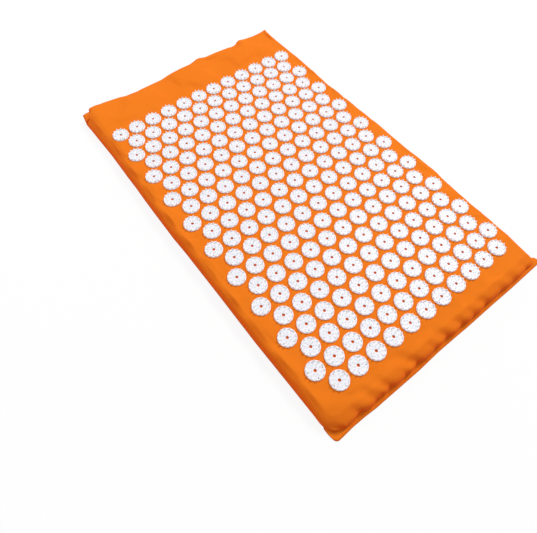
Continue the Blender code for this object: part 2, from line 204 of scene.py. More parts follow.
def settled(x, y, on_floor=False):
    """Where a point of the mat's plan comes to lie: the rows of discs bow a little and the sides wander."""
    x, y = np.asarray(x, dtype=float), np.asarray(y, dtype=float)
    u, v = np.clip(x / 0.2, -0.9, 0.9), np.clip(y / 0.3, -1.0, 0.85)
    # How far the discs stand off their even rows, in millimetres.
    bow_x = 1.13 * u - 0.52 * u * v - 1.72 * u * v * v - 1.35 * u ** 3
    bow_x = bow_x - 0.48 * u * u + 0.83 * v * v + 0.34 * v ** 3 - 0.18 * v
    bow_y = -0.95 + 0.66 * u * u + 2.95 * v - 1.07 * v * v - 4.39 * v ** 3
    bow_y = bow_y - 3.14 * u * u * v - 0.36 * u ** 3 + 0.12 * u
    right = table(y, (
        (-0.345, -6.0), (-0.33, -7.0), (-0.30, -8.0), (-0.27, -8.0), (-0.24, -7.6), (-0.21, -7.2),
        (-0.18, -5.9), (-0.15, -4.3), (-0.12, -3.3), (-0.03, -3.2), (0.03, -3.2), (0.09, -4.8), (0.135, -5.4),
        (0.18, -3.7), (0.24, -1.9), (0.30, -2.4), (0.345, -1.0),
    ))
    left = table(y, (
        (-0.34, -0.5), (-0.30, -0.9), (-0.24, -1.3), (-0.18, -2.0), (-0.15, -1.7), (-0.09, -1.0), (0.0, -0.7),
        (0.03, -1.5), (0.09, -0.4), (0.12, 0.4), (0.15, 1.7), (0.18, 2.1), (0.21, 3.0), (0.24, 3.8),
        (0.27, 3.5), (0.33, 3.2),
    ))
    if on_floor:
        at_ear = eased((-y - 0.323) / 0.012)
        right = right * (1 - at_ear) + 0.0050 * at_ear
        left = left + 0.0013 * eased((-y - 0.308) / 0.006) * (1 - eased((-y - 0.3165) / 0.0045))
        left = left - 0.0011 * eased((-y - 0.3165) / 0.0045) * (1 - eased((-y - 0.330) / 0.010))
    near = table(x, (
        (-0.20, 2.3), (-0.18, 3.2), (-0.16, 2.7), (-0.14, 1.4), (-0.12, 1.2), (-0.10, 0.9), (-0.06, 0.3),
        (-0.02, 1.3), (0.02, 0.6), (0.04, 0.0), (0.10, -0.3), (0.14, -1.0), (0.20, -0.7),
    ))
    to_right, to_left = eased((x - 0.168) / 0.035), eased((-x - 0.168) / 0.035)
    to_near, to_far = eased((-y - 0.300) / 0.030), eased((y - 0.262) / 0.050)
    moved_x = x + bow_x / 1000 * (1 - to_right - to_left) + right * to_right + left * to_left
    moved_y = y + bow_y / 1000 * (1 - to_near - to_far) + near * to_near
    return moved_x, moved_y


def fold_line(x):
    """How far the far fold draws in from its outermost line at each place across the mat."""
    return table(x, (
        (-0.21, 1.0), (-0.187, 0.2), (-0.175, 0.3), (-0.16, 2.9), (-0.14, 6.5), (-0.12, 10.2), (-0.10, 12.2),
        (-0.08, 12.4), (-0.06, 11.9), (-0.045, 10.8), (-0.03, 9.0), (-0.018, 7.5), (0.0, 6.5), (0.02, 6.8),
        (0.030, 4.6), (0.038, 1.8), (0.044, 1.2), (0.050, 3.8), (0.057, 6.2), (0.08, 6.8), (0.10, 8.5),
        (0.12, 9.8), (0.128, 8.8), (0.135, 5.0), (0.141, 2.6), (0.147, 4.4), (0.155, 6.6), (0.18, 6.7),
        (0.20, 6.0), (0.21, 5.2),
    ))


def near_fold(x, y):
    """Depth of the slanting folds that the near seam gathers into the cloth, in metres."""
    folds = (
        # x and y at the seam, x and y at the inner end, half width, depth
        (-0.106, -0.340, -0.126, -0.316, 0.0055, 0.0036),
        (-0.056, -0.338, -0.086, -0.309, 0.0075, 0.0042),
        (-0.078, -0.340, -0.090, -0.326, 0.0040, 0.0024),
        (-0.122, -0.340, -0.136, -0.326, 0.0040, 0.0026),
        (-0.134, -0.336, -0.150, -0.312, 0.0060, 0.0028),
        (-0.160, -0.336, -0.176, -0.322, 0.0060, 0.0034),
        (-0.190, -0.338, -0.212, -0.316, 0.0045, 0.0036),
        (0.004, -0.338, -0.016, -0.319, 0.0060, 0.0034),
        (0.036, -0.340, 0.016, -0.321, 0.0060, 0.0030),
        (0.088, -0.340, 0.068, -0.322, 0.0060, 0.0030),
        (0.122, -0.340, 0.108, -0.324, 0.0060, 0.0012),
        (0.150, -0.340, 0.134, -0.326, 0.0060, 0.0012),
        (0.184, -0.339, 0.166, -0.322, 0.0060, 0.0014),
        (-0.020, -0.340, -0.038, -0.320, 0.0045, 0.0018),
        (0.060, -0.340, 0.046, -0.324, 0.0045, 0.0016),
    )
    total = np.zeros_like(x)
    for x0, y0, x1, y1, half, depth in folds:
        run = math.hypot(x1 - x0, y1 - y0)
        along = ((x - x0) * (x1 - x0) + (y - y0) * (y1 - y0)) / run
        across = (-(x - x0) * (y1 - y0) + (y - y0) * (x1 - x0)) / run
        width = half * (0.7 + 0.6 * np.clip(along / run, 0, 1.4))
        fade = np.where(along < 0, eased(1 + along / 0.010), eased(1.25 - along / run))
        total = np.maximum(total, depth * fade * np.exp(-(across / width) ** 2))
    return total


def corner_slump(x, y):
    """How far the cloth sinks towards the two near corners, where the cover runs out past the foam."""
    right = 1 - eased(np.hypot(x - 0.210, y + 0.340) / 0.060)
    left = 1 - eased(np.hypot(x + 0.212, y + 0.342) / 0.052)
    far_left = 1 - eased(np.hypot((x + 0.214) / 0.032, (y - 0.345) / 0.110))
    far_side = eased((-x - 0.190) / 0.020) * eased((y - 0.060) / 0.200)
    return 0.0075 * right + 0.0085 * left + 0.0065 * far_left + 0.0035 * far_side


def side_sag(y):
    """The cloth sags between the discs that stand nearest to the side, from 0 to 1."""
    turn = (y - first_row_y - row_pitch) / (2 * row_pitch)
    inside = eased((y + 0.315) / 0.03) * eased((0.28 - y) / 0.03)
    return inside * (0.5 - 0.5 * np.cos(2 * math.pi * turn))


plateau_radii = (0.006, 0.003, 0.008, 0.016)
outer_radii = (0.010, 0.004, 0.012, 0.022)
cloth_flat, cloth_loop = flat_grid(half_width - roll, near_wall_y + near_roll, far_y - roll, plateau_radii)
plan_x, plan_y = cloth_flat[:, :, 0], cloth_flat[:, :, 1]
disc_middles = np.array([(x, y) for x, y, _ in disc_places])
plan = cloth_flat.reshape(-1, 2)
to_discs = ((plan[:, None, :] - disc_middles[None, :, :]) ** 2).sum(axis=2)
nearest = np.sqrt(to_discs.min(axis=1)).reshape(plan_x.shape)

# The cloth swells between the discs, ripples where it is bare and sinks towards its ends and corners.
swell = 0.0007 * eased((nearest - 0.0120) / 0.007) + 0.0006 * eased((nearest - 0.0200) / 0.020)
ripple = np.sin(plan_x * 57 + 1.3 * np.sin(plan_y * 23)) * np.sin(plan_y * 41 + 0.8)
swell += 0.0005 * ripple * eased((nearest - 0.020) / 0.015)
near_slump, far_slump = 0.0016, 0.0012
slump = near_slump * (1 - eased((plan_y + 0.328) / 0.026)) + corner_slump(plan_x, plan_y)
slump += far_slump * eased((plan_y - 0.308) / 0.024)
top_x, top_y = settled(plan_x, plan_y)
margin_y = 0.266
top_y = top_y - fold_line(top_x) * eased((plan_y - margin_y) / (far_y - roll - margin_y))
cloth_top = np.dstack([top_x, top_y, top_z + swell - slump])

# Each ring: in at the sides, at the near end and at the far end, its height at the sides and at the
# far end, and its stage: the cloth's top (0), the widest line (1), the tuck (2) or the lip (3).
ring_table = []
for lean, far_in, far_level in (
    (75, 0.0088, 0.0206), (60, 0.0066, 0.0201), (45, 0.0044, 0.0195),
    (30, 0.0024, 0.0189), (15, 0.0008, 0.0182), (0, 0.0, fold_z),
):
    inward = roll * (1 - math.cos(math.radians(lean)))
    level = widest_z + (top_z - widest_z) * math.sin(math.radians(lean))
    ring_table.append((inward, inward * near_roll / roll, far_in, level, far_level, 1 - inward / roll))
ring_table += [
    (0.0008, 0.0003, 0.0016, 0.0064, 0.0164, 1.2),
    (0.0020, 0.0007, 0.0060, 0.0040, 0.0159, 1.6),
    (0.0034, 0.0012, 0.0136, lip_z, 0.0156, 2.0),
    (0.0026, -0.0020, 0.0138, lip_z, 0.0148, 3.0),
    (0.0016, -0.0048, 0.0140, lip_z, 0.0140, 3.0),
]
cloth_rings = []
for side_in, near_in, far_in, side_level, far_level, stage in ring_table:
    if stage <= 1:
        radii = [inner + (outer - inner) * stage for inner, outer in zip(plateau_radii, outer_radii)]
    elif stage <= 2:
        radii = [max(outer - 0.002 * (stage - 1), 0.003) for outer in outer_radii]
    else:
        radii = [0.0065, 0.0035, 0.0065, 0.0065]
    ring = edge_loop(half_width - side_in, near_wall_y + near_in, far_y - far_in, radii)
    x, y, face_x, face_y = ring.T
    facing_far = np.maximum(face_y, 0)
    facing_near = np.maximum(-face_y, 0)
    if stage < 2:
        level = side_level + (far_level - side_level) * facing_far ** 2
    else:
        over_zip = np.clip((0.2005 - np.abs(x)) / 0.0265, 0, 1)
        level = side_level + (far_level - side_level) * np.where(face_y > 0.5, over_zip, 0)
    held = 1 if stage <= 1 else max(2 - stage, 0)
    sag = side_sag(y) * np.minimum(face_x, 0) ** 2 * held
    wander = fold_line(x) * np.maximum(facing_far, eased((y - margin_y) / 0.066)) * held
    above_floor = np.clip((level - lip_z) / (top_z - lip_z), 0, 1)
    height_share = np.clip((level - widest_z) / (top_z - widest_z), 0, 1)
    level = level - (near_slump * facing_near ** 2 + corner_slump(x, y)) * above_floor
    level = level - 0.0011 * sag * height_share
    x, y = settled(x, y, on_floor=stage > 2)
    x = x - 0.0004 * sag * np.sign(face_x)
    cloth_rings.append(np.column_stack([x, y - wander, level]))

# The far left corner: the folded upper layer ends short of the side and leaves an ear beyond it.
layer_x, layer_y, drawn_in, drawn_share = -0.2065, 0.3235, 0.0180, 0.94
for points in [cloth_top.reshape(-1, 3)] + cloth_rings:
    beyond = points[:, 1] - layer_y
    reach = layer_x + drawn_in * eased(beyond / 0.0085)
    past = np.where(beyond > 0, np.maximum(reach - points[:, 0], 0), 0)
    points[:, 0] = points[:, 0] + drawn_share * past

# The flat cloth: each ring is laid out beyond the last by the length of cloth between them.
edge_flat = cloth_flat.reshape(-1, 2)[cloth_loop]
edge_facing = edge_loop(half_width - roll, near_wall_y + near_roll, far_y - roll, plateau_radii)[:, 2:]
travelled = np.zeros(len(edge_flat))
before = cloth_top.reshape(-1, 3)[cloth_loop]
flat_rings = []
for ring in cloth_rings:
    travelled = travelled + np.linalg.norm(ring - before, axis=1)
    flat_rings.append(edge_flat + edge_facing * travelled[:, None])
    before = ring


def cover_surface(name, rings, flats):
    """The upper cover's outer surface down to the given ring, with the near seam's folds pressed in."""
    piece = sewn_mesh(name, cloth_top, cloth_loop, rings, cloth_flat, flats)
    mesh = piece.data
    mesh.update()
    places = read(mesh.vertices, "co", 3)
    normals = read(mesh.vertex_normals, "vector", 3)
    depth = near_fold(places[:, 0], places[:, 1]) * eased((places[:, 2] - lip_z) / 0.004)
    places = places - normals * depth[:, None]
    mesh.vertices.foreach_set("co", places.ravel())
    mesh.update()
    return piece, places, normals


foam_rings = 8
foam_gap = 0.0021
foot_share, foot_in = 0.985, 0.003
foam_core, foam_places, foam_normals = cover_surface(
    "foam_slab", cloth_rings[:foam_rings], flat_rings[:foam_rings],
)
foam_places = foam_places - foam_normals * foam_gap
foam_places[:, 1] = np.minimum(foam_places[:, 1], foam_high.y)
foam_places[:, 2] = np.clip(foam_places[:, 2], foam_low.z, foam_high.z)
foam_core.data.vertices.foreach_set("co", foam_places.ravel())
foam_edit = bmesh.new()
foam_edit.from_mesh(foam_core.data)
rim = [edge for edge in foam_edit.edges if edge.is_boundary]
grown = bmesh.ops.extrude_edge_only(foam_edit, edges=rim)
for vert in [item for item in grown["geom"] if isinstance(item, bmesh.types.BMVert)]:
    vert.co.z = foam_low.z
    vert.co.x *= foot_share
    vert.co.y = vert.co.y + foot_in if vert.co.y < 0 else vert.co.y
bmesh.ops.holes_fill(foam_edit, edges=[edge for edge in foam_edit.edges if edge.is_boundary])
bmesh.ops.recalc_face_normals(foam_edit, faces=foam_edit.faces)
foam_edit.to_mesh(foam_core.data)
foam_edit.free()
foam_core.data.shade_smooth()


def feed(tree, node, inputs):
    """Fills a node's inputs: a number or colour is set there, and another node's output is linked."""
    for socket, value in inputs.items():
        if isinstance(value, bpy.types.NodeSocket):
            tree.links.new(value, node.inputs[socket])
        else:
            node.inputs[socket].default_value = value


def add_node(tree, kind, inputs=None, **settings):
    """A new shader node with its settings and its inputs."""
    node = tree.nodes.new("ShaderNode" + kind)
    for setting, value in settings.items():
        setattr(node, setting, value)
    feed(tree, node, inputs or {})
    return node


def new_finish(name):
    """A new material, with its node tree and its Principled shader."""
    finish = bpy.data.materials.new(name)
    finish.use_nodes = True
    return finish, finish.node_tree, finish.node_tree.nodes["Principled BSDF"]


def pattern(tree, kind, output, **inputs):
    """What a texture on Object coordinates puts out."""
    place = add_node(tree, "TexCoord").outputs["Object"]
    return add_node(tree, kind, {"Vector": place, **inputs}).outputs[output]


def toned(tree, amount, low, high, start=0.0, end=1.0):
    """A colour that runs from low to high as the amount goes from start to end."""
    ramp = add_node(tree, "ValToRGB", {"Fac": amount})
    for stop, colour, position in zip(ramp.color_ramp.elements, (low, high), (start, end)):
        stop.color = (*colour, 1)
        stop.position = position
    return ramp.outputs["Color"]


def bumped(tree, height, strength, distance):
    """The surface's normal, raised by a height."""
    inputs = {"Strength": strength, "Distance": distance, "Height": height}
    return add_node(tree, "Bump", inputs).outputs["Normal"]


foam_finish, tree, shader = new_finish("cream foam")
# The pores are painted darker than the cell walls round them, which is painted shade in the pores.
cells = pattern(tree, "TexVoronoi", "Distance", Scale=900)
feed(tree, shader, {
    "Base Color": toned(tree, cells, (0.52, 0.45, 0.32), (0.84, 0.79, 0.66), end=0.45),
    "Roughness": 0.95,
    "Normal": bumped(tree, cells, 0.7, 0.0006),
})
foam_core.data.materials.append(foam_finish)
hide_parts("foam_core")
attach(foam_core, "mat")


# Lower cover panel. One layer of plain-woven orange cotton, cut to the seam line and lying flat
# on the floor. Its far edge is turned up as a hem, which carries the lower half of the zip.
cloth_thickness = 0.0008
panel_low, panel_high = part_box("cover_bottom_panel")
lip_half_width = panel_high.x
hem_half_length = 0.183
hem_top = panel_high.z


def shader_group(name, inputs, outputs):
    """An empty group of shader nodes, what it is given and its output node."""
    group = bpy.data.node_groups.new(name, "ShaderNodeTree")
    for in_out, sockets in (("INPUT", inputs), ("OUTPUT", outputs)):
        for socket, kind in sockets.items():
            group.interface.new_socket(socket, in_out=in_out, socket_type="NodeSocket" + kind)
    given = group.nodes.new("NodeGroupInput").outputs
    return group, given, group.nodes.new("NodeGroupOutput")


def maths(tree, operation, *values):
    return add_node(tree, "Math", dict(enumerate(values)), operation=operation).outputs[0]


def ranged(tree, value, low, high, start=0.0, end=1.0, **settings):
    """A value that runs from low to high as the given one goes from start to end."""
    inputs = {"Value": value, "From Min": start, "From Max": end, "To Min": low, "To Max": high}
    return add_node(tree, "MapRange", inputs, **settings).outputs["Result"]


def mixed_colour(tree, share, first, second):
    inputs = {"Factor": share, "A": first, "B": second}
    return add_node(tree, "Mix", inputs, data_type="RGBA").outputs["Result"]


def woven_group():
    """Plain weave in cloth coordinates: the threads' tint and height, with slubs, and painted shade in
    creases and on upright sides.
    """
    tree, given, result = shader_group(
        "plain weave",
        {"Thread Pitch": "Float", "Light Colour": "Color", "Deep Colour": "Color", "Painted Shade Colour": "Color"},
        {"Colour": "Color", "Height": "Float", "Roughness": "Float"},
    )
    flat = add_node(tree, "SeparateXYZ", {"Vector": add_node(tree, "UVMap", uv_map="cloth").outputs["UV"]})

    def thread_wave(axis):
        turns = maths(tree, "DIVIDE", flat.outputs[axis], given["Thread Pitch"])
        return maths(tree, "SINE", maths(tree, "MULTIPLY", turns, math.pi))

    crossing = maths(tree, "MULTIPLY", thread_wave("X"), thread_wave("Y"))
    height = maths(tree, "POWER", maths(tree, "ABSOLUTE", crossing), 0.6)
    slubs = pattern(tree, "TexNoise", "Fac", Scale=420, Detail=3)
    shades = pattern(tree, "TexNoise", "Fac", Scale=9, Detail=2)
    # Slubs and broad random tone are the dye's own. The thread crowns are painted a little lighter than the
    # dips between threads, which is painted shade of the weave's relief.
    depth = maths(tree, "ADD", maths(tree, "MULTIPLY", slubs, 0.35), maths(tree, "MULTIPLY", shades, 0.45))
    depth = maths(tree, "ADD", depth, maths(tree, "MULTIPLY", height, 0.20))
    dyed = mixed_colour(tree, depth, given["Deep Colour"], given["Light Colour"])
    # Painted shade: the colour runs to the painted shade colour where ambient occlusion finds the cloth
    # hemmed in (in creases, in the discs' holes and beside their rims) and where the cloth turns upright at
    # the sides and ends.
    openness = add_node(tree, "AmbientOcclusion", {"Distance": 0.006}, samples=8).outputs["AO"]
    open_share = ranged(tree, openness, 0.25, 1.0, 0.25, 0.82, interpolation_type="SMOOTHSTEP")
    facing = add_node(tree, "SeparateXYZ", {"Vector": add_node(tree, "TexCoord").outputs["Normal"]})
    upright = ranged(tree, facing.outputs["Z"], 0.40, 1.0, 0.38, 1.0)
    unshaded_share = maths(tree, "MINIMUM", open_share, upright)
    feed(tree, result, {
        "Colour": mixed_colour(tree, unshaded_share, given["Painted Shade Colour"], dyed),
        "Height": height,
        "Roughness": maths(tree, "ADD", 0.78, maths(tree, "MULTIPLY", slubs, 0.16)),
    })
    return tree


weave = woven_group()


def cotton_finish(name, light, deep, painted_shade, pitch, relief):
    """Dyed cotton with its weave, slubs and a soft nap, and painted shade in its creases and on its upright
    sides.
    """
    finish, tree, shader = new_finish(name)
    threads = add_node(tree, "Group", {
        "Thread Pitch": pitch,
        "Light Colour": (*light, 1),
        "Deep Colour": (*deep, 1),
        "Painted Shade Colour": (*painted_shade, 1),
    }, node_tree=weave).outputs
    feed(tree, shader, {
        "Base Color": threads["Colour"],
        "Roughness": threads["Roughness"],
        "Specular IOR Level": 0.06,
        "Sheen Weight": 0.03,
        "Sheen Roughness": 0.45,
        "Sheen Tint": (1.0, 0.45, 0.15, 1),
        "Normal": bumped(tree, threads["Height"], relief, 0.00015),
    })
    return finish


def pick(*pieces):
    """Selects these pieces and nothing else, with the first of them active."""
    bpy.ops.object.select_all(action="DESELECT")
    for piece in pieces:
        piece.select_set(True)
    bpy.context.view_layer.objects.active = pieces[0]


def select_parts(piece, kind, keep):
    """Selects, in edit mode, only the verts, edges or faces for which keep is true."""
    bpy.ops.mesh.select_all(action="DESELECT")
    edit = bmesh.from_edit_mesh(piece.data)
    for part in getattr(edit, kind):
        part.select_set(bool(keep(part)))
    bmesh.update_edit_mesh(piece.data)


def extrude(*move):
    """Extrudes, in edit mode, what is selected."""
    bpy.ops.mesh.extrude_region_move(TRANSFORM_OT_translate={"value": move})


def thicken(piece, thickness):
    """Gives a sheet its thickness, inwards from its face."""
    pick(piece)
    layer = piece.modifiers.new("cloth", "SOLIDIFY")
    layer.thickness = thickness
    layer.offset = -1
    bpy.ops.object.modifier_apply(modifier="cloth")
    piece.data.shade_smooth()


# The third colour is the painted shade colour for creases, holes and upright sides.
cotton = cotton_finish(
    "orange cotton", (0.88, 0.219, 0.0140), (0.79, 0.170, 0.0085), (0.80, 0.048, 0.0006), 0.0006, 0.35,
)
seam_in = 0.002
lower_flat, lower_loop = flat_grid(
    lip_half_width - seam_in, panel_low.y + seam_in, panel_high.y - seam_in, (0.005, 0.003, 0.005, 0.005),
)
lower_edge = edge_loop(lip_half_width, panel_low.y, panel_high.y, (0.006, 0.004, 0.006, 0.006))
lower_places = []
for flat in (lower_flat.reshape(-1, 2), lower_edge[:, :2]):
    x, y = settled(flat[:, 0], flat[:, 1], on_floor=True)
    lower_places.append(np.column_stack([x, y, np.full(len(x), cloth_thickness)]))
lower_grid = lower_places[0].reshape(*lower_flat.shape[:2], 3)
lower_panel = sewn_mesh(
    "lower_panel", lower_grid, lower_loop, [lower_places[1]], lower_flat, [lower_edge[:, :2]],
)


def along_hem(edge):
    places = [vert.co for vert in edge.verts]
    at_far_end = all(place.y > panel_high.y - 0.0001 for place in places)
    return edge.is_boundary and at_far_end and all(abs(place.x) < hem_half_length for place in places)


pick(lower_panel)
bpy.ops.object.mode_set(mode="EDIT")
bpy.ops.mesh.select_mode(type="EDGE")
select_parts(lower_panel, "edges", along_hem)
hem_steps = 3
for _ in range(hem_steps):
    extrude(0, 0, (hem_top - cloth_thickness) / hem_steps)
bpy.ops.object.mode_set(mode="OBJECT")
thicken(lower_panel, cloth_thickness)
lower_panel.data.materials.append(cotton)
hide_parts("cover_bottom_panel")
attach(lower_panel, "mat")


# Upper cover panel. The same cotton, riveted to the discs and sewn to the lower panel at the sides
# and the near end, where a flat lip stands out. At the far end it folds under over the zip. It is
# cut a little full: let go between the discs and the seams, it swells and crumples over the foam.
upper_panel, sewn_places, facing = cover_surface("upper_panel", cloth_rings, flat_rings)
# How firmly each point is held: 1 at the discs, the seam and the far left corner, and 0 where free.
grid_count, ring_count = plan_x.size, len(cloth_loop)
free_rings, widest_ring, widest_grip = 8, 5, 0.05
disc_reach, disc_fade = 0.0150, 0.0020
corner_x, corner_y, corner_reach, corner_fade = -0.197, 0.327, 0.018, 0.012
grip = np.ones(len(sewn_places))
grip[:grid_count] = np.clip((disc_reach - nearest.reshape(-1)) / disc_fade, 0, 1)
grip[grid_count:grid_count + free_rings * ring_count] = 0
widest_start = grid_count + widest_ring * ring_count
grip[widest_start:widest_start + ring_count] = widest_grip
from_corner = np.hypot(sewn_places[:, 0] - corner_x, sewn_places[:, 1] - corner_y)
grip = np.maximum(grip, 1 - eased((from_corner - corner_reach) / corner_fade))
held = upper_panel.vertex_groups.new(name="held")
for index in np.flatnonzero(grip).tolist():
    held.add([index], float(grip[index]), "REPLACE")

settling = upper_panel.modifiers.new("settling", "CLOTH")
last_moment = 12
for setting, value in (
    ("vertex_group_mass", "held"), ("quality", 4), ("mass", 0.15), ("tension_stiffness", 15),
    ("compression_stiffness", 15), ("shear_stiffness", 5), ("bending_stiffness", 0.15),
    ("use_pressure", True), ("uniform_pressure_force", 2.5), ("shrink_min", -0.04),
):
    setattr(settling.settings, setting, value)
settling.settings.effector_weights.gravity = 0
settling.collision_settings.use_collision = False
settling.point_cache.frame_start = 1
settling.point_cache.frame_end = last_moment
for moment in range(1, last_moment + 1):
    bpy.context.scene.frame_set(moment)
    loose_mesh = upper_panel.evaluated_get(bpy.context.evaluated_depsgraph_get()).data
moved = read(loose_mesh.vertices, "co", 3) - sewn_places
upper_panel.modifiers.remove(settling)
upper_panel.vertex_groups.remove(held)
bpy.context.scene.frame_set(1)

# The movement is smoothed along the threads, and limited so that the cloth neither sinks into the
# foam nor leaves the photograph's outline.
smoothings, own_share = 5, 0.4
most_aside, most_in, most_out_on_top, most_out_at_sides = 0.0008, 0.0010, 0.0020, 0.0006
ends = read(upper_panel.data.edges, "vertices", 2, np.int32)
neighbours = np.bincount(ends.ravel(), minlength=len(moved))[:, None]
for _ in range(smoothings):
    pulled = np.zeros_like(moved)
    np.add.at(pulled, ends[:, 0], moved[ends[:, 1]])
    np.add.at(pulled, ends[:, 1], moved[ends[:, 0]])
    moved = (own_share * moved + (1 - own_share) * pulled / neighbours) * (1 - grip)[:, None]
outward = (moved * facing).sum(axis=1)
aside = moved - facing * outward[:, None]
aside *= np.minimum(1, most_aside / np.maximum(np.linalg.norm(aside, axis=1), 1e-9))[:, None]
most_out = np.where(np.arange(len(moved)) < grid_count, most_out_on_top, most_out_at_sides)
most = np.where(outward > 0, most_out, most_in)
outward = most * np.tanh(outward / most)
upper_panel.data.vertices.foreach_set("co", (sewn_places + facing * outward[:, None] + aside).ravel())
upper_panel.data.update()

# The ear at the far left corner is a patch of the same cloth, joined on before it gets its thickness.
ear_corners = np.array((
    (-0.2068, 0.3200, 0.0100), (-0.1950, 0.3200, 0.0180),
    (-0.1880, 0.3370, 0.0152), (-0.2032, 0.3392, 0.0120),
))
ear_cells = 6
ear_crown = 0.0016
ear_points = []
for j in range(ear_cells + 1):
    for i in range(ear_cells + 1):
        a, b = i / ear_cells, j / ear_cells
        near_edge = ear_corners[0] * (1 - a) + ear_corners[1] * a
        far_edge = ear_corners[3] * (1 - a) + ear_corners[2] * a
        point = near_edge * (1 - b) + far_edge * b
        point[2] += ear_crown * math.sin(math.pi * a) * (1 - 0.5 * b)
        ear_points.append(point.tolist())
ear_flats = [point[:2] for point in ear_points]
ear = cloth_mesh("corner_ear", ear_points, grid_faces(ear_cells, ear_cells), ear_flats)
pick(upper_panel, ear)
bpy.ops.object.join()
thicken(upper_panel, cloth_thickness)
upper_panel.data.materials.append(cotton)
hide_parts("cover_top_panel")
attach(upper_panel, "mat")


# Stitching. A lockstitch of orange thread runs along the near lip, 2.6 mm in from its edge, and
# holds the two panels together. Each stitch is a short raised bead with a gap before the next.
stitch_pitch = 0.0034
stitch_half_run = 0.196
stitch_in = 0.0026
# The third colour is the painted shade colour for creases and upright sides.
thread = cotton_finish(
    "orange thread", (0.84, 0.20, 0.012), (0.66, 0.13, 0.006), (0.45, 0.05, 0.001), 0.0003, 0.5,
)


def laid_at(x, y, z, on_floor=False):
    """The shift that brings a small piece to where a point of the mat's plan comes to lie."""
    x, y = settled(x, y, on_floor)
    return Matrix.Translation((float(x), float(y), z))


def copy_at(model, name, place):
    """A copy of a piece, with its own mesh, at its own place."""
    copied = bpy.data.objects.new(name, model.data.copy())
    copied.matrix_world = place
    bpy.context.scene.collection.objects.link(copied)
    return copied


def freeze():
    """Writes the selected piece's place, turn and size into its mesh."""
    bpy.ops.object.transform_apply(location=True, rotation=True, scale=True)


def joined(pieces, name):
    """One piece made of several."""
    pick(*pieces)
    bpy.ops.object.join()
    freeze()
    whole = bpy.context.object
    whole.name = name
    return whole


def stitch_rows(name, rows, bead_size):
    """Rows of stitches across the mat, each given by its half length, its y and its z."""
    bpy.ops.object.select_all(action="DESELECT")
    bpy.ops.mesh.primitive_uv_sphere_add(segments=6, ring_count=4, radius=1)
    bead = bpy.context.object
    bead.data.materials.append(thread)
    stitches = []
    for half_run, row_y, row_z in rows:
        for n in range(int(2 * half_run / stitch_pitch) + 1):
            place = laid_at(-half_run + n * stitch_pitch, row_y, row_z, on_floor=True)
            place = place @ Matrix.Diagonal((*bead_size, 1))
            stitches.append(copy_at(bead, f"{name}_{len(stitches):03d}", place))
    seam = joined(stitches, name)
    seam.data.shade_smooth()
    seam.data.uv_layers[0].name = "cloth"
    bpy.data.objects.remove(bead, do_unlink=True)
    return seam


near_row = (stitch_half_run, near_lip_y + stitch_in, lip_z)
near_stitches = stitch_rows("near_seam_stitches", (near_row,), (0.0013, 0.00028, 0.00022))
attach(near_stitches, "mat")


# Spiked discs. Each is moulded from white plastic in one piece: a round plate with a hole in its
# middle and 27 spikes in three rings. Four pegs of a ring inside the cover come up through the
# cloth and are pressed flat in four small pits, whose floors are painted dark: painted shade in the pits.
disc_radius = 0.0136
disc_sides = 24
plate_thickness = 0.0016
plate_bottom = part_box("disc_row_01")[0].z
rim_height = 0.0003
bands_in = (0.0004, 0.0013, 0.0030)
hole_radius = 0.0023
peg_depth = 0.0006
spike_root = 0.0001
turn_step, row_turn = 2.39996, 1.137
spike_rings = (
    # spikes, ring radius, half widths round and across the ring, turn in degrees, lean out, height
    (12, 0.0121, 0.0027, 0.0012, 22.5, 0.0011, 0.0038),
    (9, 0.0080, 0.0009, 0.0008, 12.5, 0.0, 0.0032),
    (6, 0.0049, 0.0009, 0.0008, 30.0, 0.0, 0.0032),
)

white_plastic, tree, shader = new_finish("white plastic")
cloudy = pattern(tree, "TexNoise", "Fac", Scale=160, Detail=2)
feed(tree, shader, {
    "Base Color": toned(tree, cloudy, (0.84, 0.84, 0.885), (0.88, 0.88, 0.925)),
    "Roughness": ranged(tree, cloudy, 0.34, 0.48),
    "Specular IOR Level": 0.3,
    "Subsurface Weight": 1.0,
    "Subsurface Radius": (1.0, 1.0, 1.0),
    "Subsurface Scale": 0.0012,
})
# A dark plastic for the floors of the four pits, which is painted shade in the pits with a mottle through it.
pit_shade_plastic, tree, shader = new_finish("painted pit shade")
pit_shade_mottle = pattern(tree, "TexNoise", "Fac", Scale=300)
feed(tree, shader, {
    "Base Color": toned(tree, pit_shade_mottle, (0.16, 0.08, 0.12), (0.36, 0.25, 0.32)),
    "Roughness": 0.5,
})


def select_faces(piece, keep):
    """Selects, in edit mode, only the faces for which keep is true of their normal and their middle."""
    bpy.ops.mesh.select_mode(type="FACE")
    select_parts(piece, "faces", lambda face: keep(face.normal, face.calc_center_median()))


def over_peg(normal, middle):
    turn = math.degrees(math.atan2(middle.y, middle.x)) % 90
    return normal.z > 0.9 and 0.0090 < middle.to_2d().length < 0.0120 and 0 < turn < 15


def cut_at(axis, *places):
    """Cuts the whole mesh, in edit mode, square to an axis at each place along it."""
    for place in places:
        bpy.ops.mesh.select_all(action="SELECT")
        bpy.ops.mesh.bisect(
            plane_co=[place * (n == axis) for n in range(3)], plane_no=[float(n == axis) for n in range(3)],
        )


